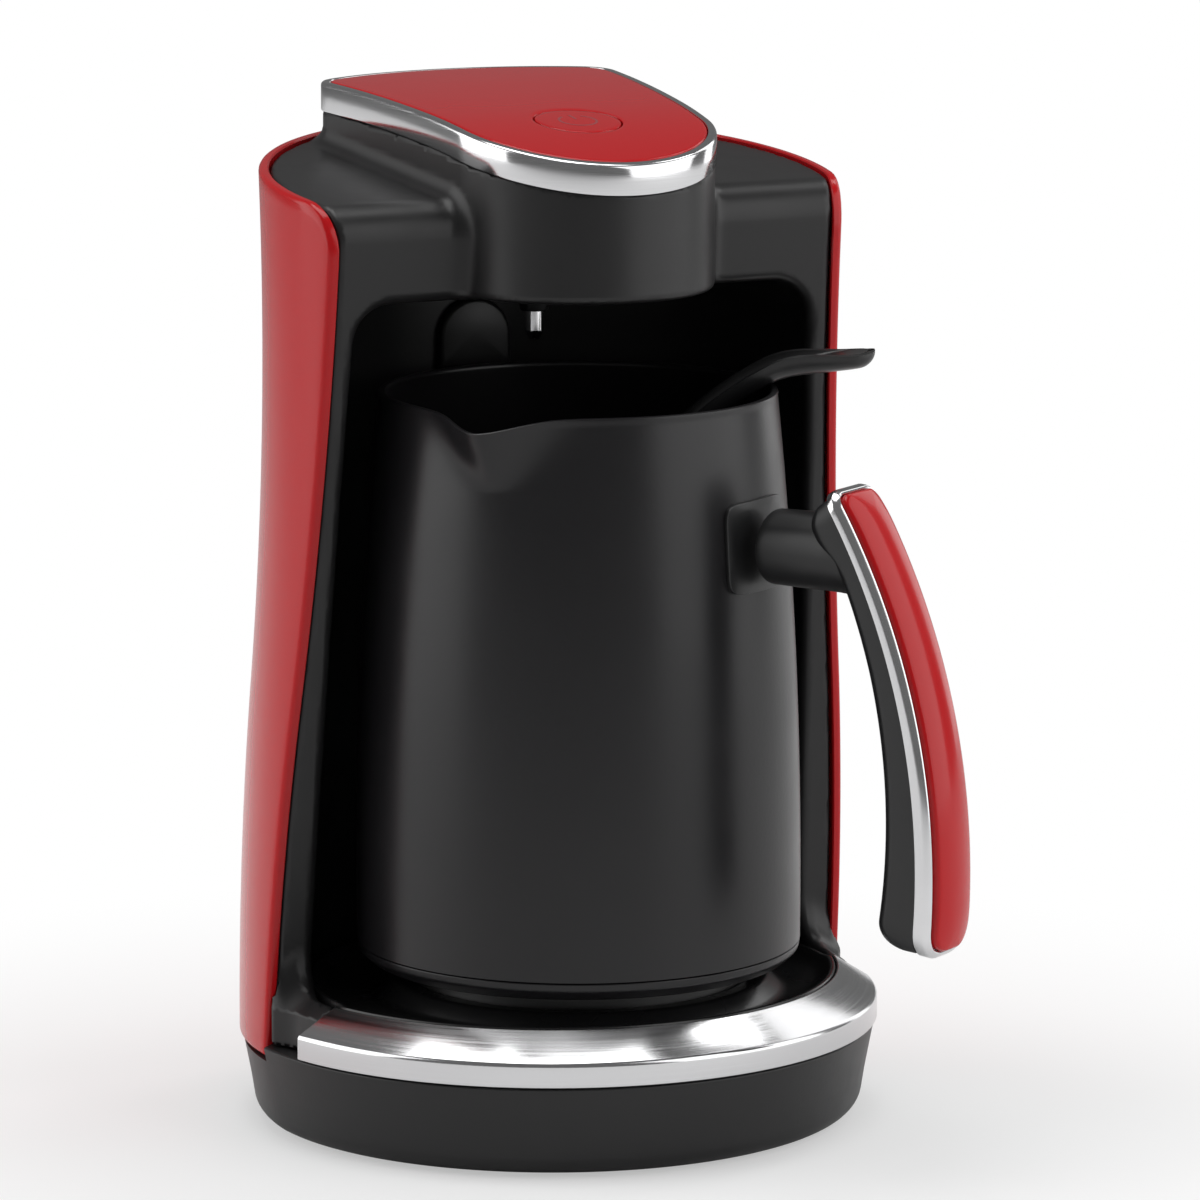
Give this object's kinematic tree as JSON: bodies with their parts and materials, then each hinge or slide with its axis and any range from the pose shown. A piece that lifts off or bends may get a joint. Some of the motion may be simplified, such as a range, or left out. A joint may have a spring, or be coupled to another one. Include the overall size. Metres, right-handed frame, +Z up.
{
  "type": "electric turkish coffee maker",
  "caption": "Upright coffee maker: round base with heater plate, C-shaped shell, forward head with a push button, lift-out spouted pot with curved handle, and a spoon.",
  "frame": {"origin": "centre of the base's foot ring, on the table", "axes": "+Z up, -Y towards the front where the pot slides out, +X to the right seen from the front"},
  "size_m": [0.1392, 0.1622, 0.2204],
  "materials": {
    "black_plastic": "satin",
    "dark_plastic": "satin",
    "rubber": "matte",
    "brushed_steel": "brushed",
    "heater_metal": "satin",
    "zinc_steel": "satin",
    "ceramic": "matte",
    "circuit_board": "satin",
    "relay_plastic": "satin",
    "red_gloss": "gloss",
    "clear_plastic": "gloss",
    "chrome": "polished",
    "pot_coating": "satin"
  },
  "bodies": {
    "machine": {"base_tub": "black_plastic", "foot_ring": "rubber", "trim_ring": "brushed_steel", "pot_deck": "black_plastic", "heater_plate": "heater_metal", "heating_element": "heater_metal", "heater_clamp": "zinc_steel", "clamp_screws": "zinc_steel", "base_thermostat": "ceramic", "power_board": "circuit_board", "power_relay": "relay_plastic", "base_screws": "zinc_steel", "cord_gland": "rubber", "inner_housing": "black_plastic", "outer_shell": "red_gloss", "head_band": "brushed_steel", "top_plate": "red_gloss", "switch_board": "circuit_board", "tact_switch": "dark_plastic", "status_led": "clear_plastic", "control_board": "circuit_board", "board_screws": "zinc_steel", "sensor_probe": "chrome", "probe_collar": "dark_plastic", "vent_hood": "black_plastic"},
    "button": {"power_button": "red_gloss"},
    "pot": {"pot_body": "pot_coating", "pot_base": "pot_coating", "handle_mount": "dark_plastic", "handle_body": "dark_plastic", "handle_trim": "chrome", "handle_insert": "red_gloss", "handle_screw": "zinc_steel"},
    "spoon": {"spoon": "dark_plastic"}
  },
  "joints": [
    {"name": "button_press", "type": "slide", "parent": "machine", "child": "button", "axis": [0, -0.1449, 0.9894], "range_m": [-0.0008, 0], "stiffness_N_per_m": 500, "springref_m": 0.002},
    {"name": "pot_out", "type": "slide", "parent": "machine", "child": "pot", "axis": [0, -1, 0], "range_m": [0, 0.13]},
    {"name": "spoon_draw", "type": "slide", "parent": "pot", "child": "spoon", "axis": [0.5855, -0.1902, 0.788], "range_m": [0, 0.06]}
  ]
}
